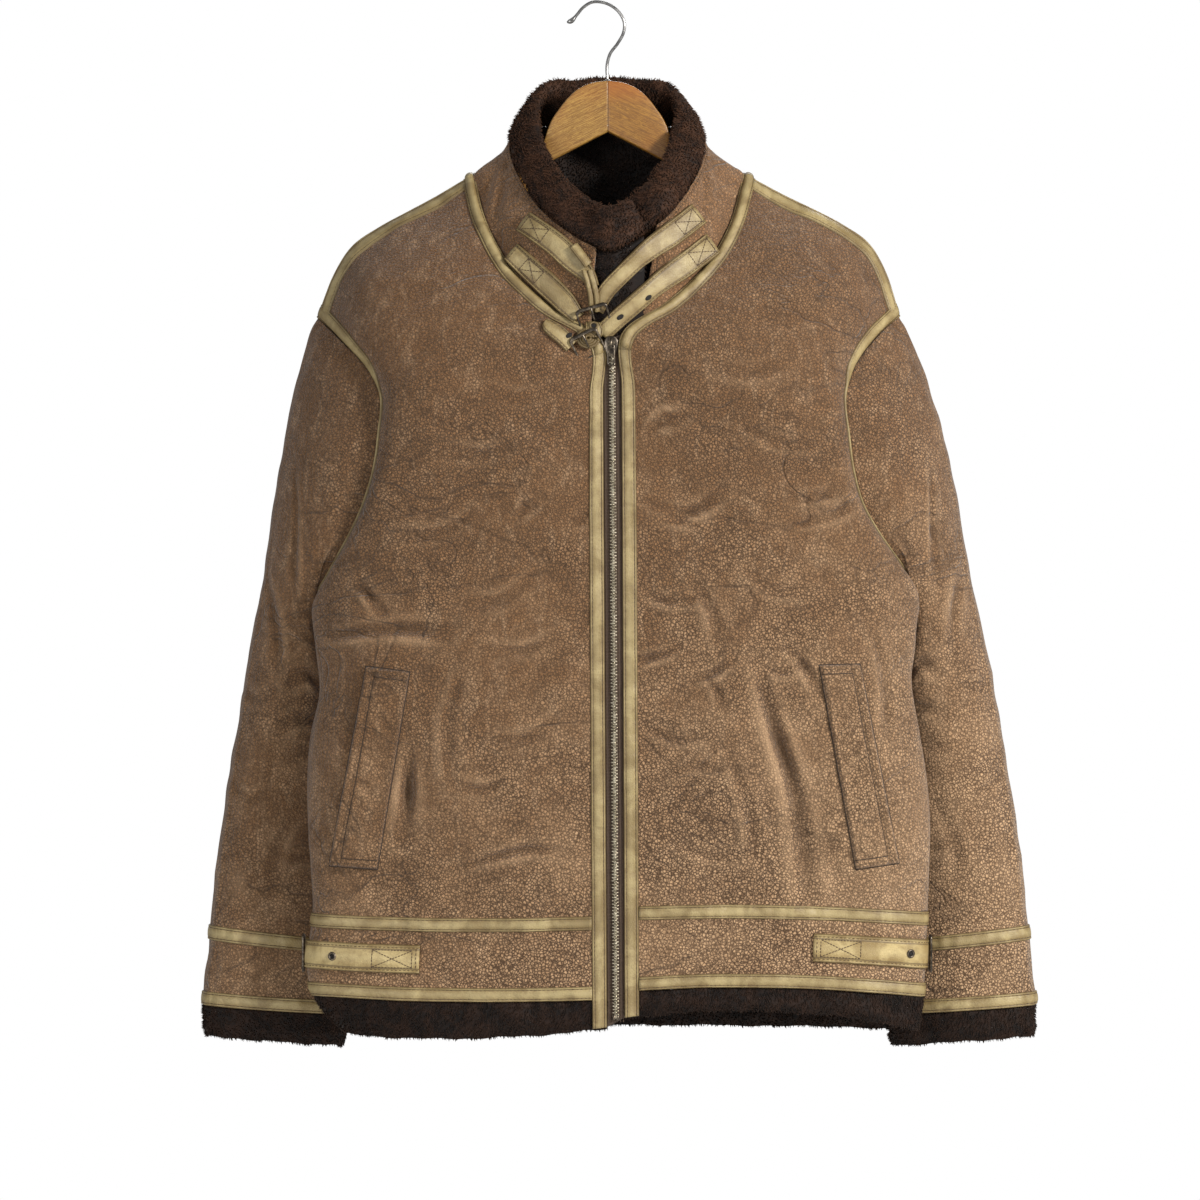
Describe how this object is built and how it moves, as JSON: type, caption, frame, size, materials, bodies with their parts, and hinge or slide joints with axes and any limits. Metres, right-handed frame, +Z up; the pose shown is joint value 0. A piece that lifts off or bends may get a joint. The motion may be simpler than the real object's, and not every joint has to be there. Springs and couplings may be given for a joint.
{
  "type": "sheepskin flying jacket on a wooden hanger",
  "caption": "Hip-length suede and fur-trimmed flying jacket with leather seam tapes, lapped stand collar with strap and buckle fastening, and zip front, hanging on a wooden hanger.",
  "frame": {"origin": "underside of the hook's crown, where it rests on what holds it up", "axes": "+Z up, -Y towards the front of the jacket, +X to the right seen from the front"},
  "size_m": [0.698, 0.17, 0.8716],
  "materials": {
    "suede": "matte pebbled suede",
    "tan_leather": "satin, worn edges",
    "dark_fur": "short curled pile",
    "zip_tape": "woven",
    "gunmetal": "dark satin",
    "wood": "varnished",
    "steel": "bright wire"
  },
  "bodies": {
    "root": {"front_left": "suede", "front_right": "suede", "back": "suede", "hem_band_left": "suede", "hem_band_right": "suede", "hem_band_back": "suede", "sleeve_left": "suede", "sleeve_right": "suede", "cuff_band_left": "suede", "cuff_band_right": "suede", "collar": "suede", "pocket_welt_left": "suede", "pocket_welt_right": "suede", "collar_fur": "dark_fur", "collar_lining": "dark_fur", "hem_fur_left": "dark_fur", "hem_fur_right": "dark_fur", "hem_fur_back": "dark_fur", "cuff_fur_left": "dark_fur", "cuff_fur_right": "dark_fur", "centre_front_tape_left": "tan_leather", "centre_front_tape_right": "tan_leather", "neck_tape_left": "tan_leather", "neck_tape_right": "tan_leather", "neck_tape_back": "tan_leather", "shoulder_tape_left": "tan_leather", "shoulder_tape_right": "tan_leather", "armhole_tape_left": "tan_leather", "armhole_tape_right": "tan_leather", "waist_tape_left": "tan_leather", "waist_tape_right": "tan_leather", "waist_tape_back": "tan_leather", "hem_tape_left": "tan_leather", "hem_tape_right": "tan_leather", "hem_tape_back": "tan_leather", "upper_cuff_tape_left": "tan_leather", "upper_cuff_tape_right": "tan_leather", "lower_cuff_tape_left": "tan_leather", "lower_cuff_tape_right": "tan_leather", "side_strap_left": "tan_leather", "side_strap_right": "tan_leather", "collar_strap_right_upper": "tan_leather", "collar_strap_right_lower": "tan_leather", "collar_strap_left_upper": "tan_leather", "collar_strap_left_lower": "tan_leather", "strap_keeper": "tan_leather", "strap_tip": "tan_leather", "strap_tail": "tan_leather", "zip_tape": "zip_tape", "zip_chain": "gunmetal", "zip_slider": "gunmetal", "collar_buckle_upper": "gunmetal", "collar_buckle_lower": "gunmetal", "side_buckle_left": "gunmetal", "side_buckle_right": "gunmetal", "hanger_arm_left": "wood", "hanger_arm_right": "wood", "hanger_hook": "steel"}
  },
  "joints": []
}
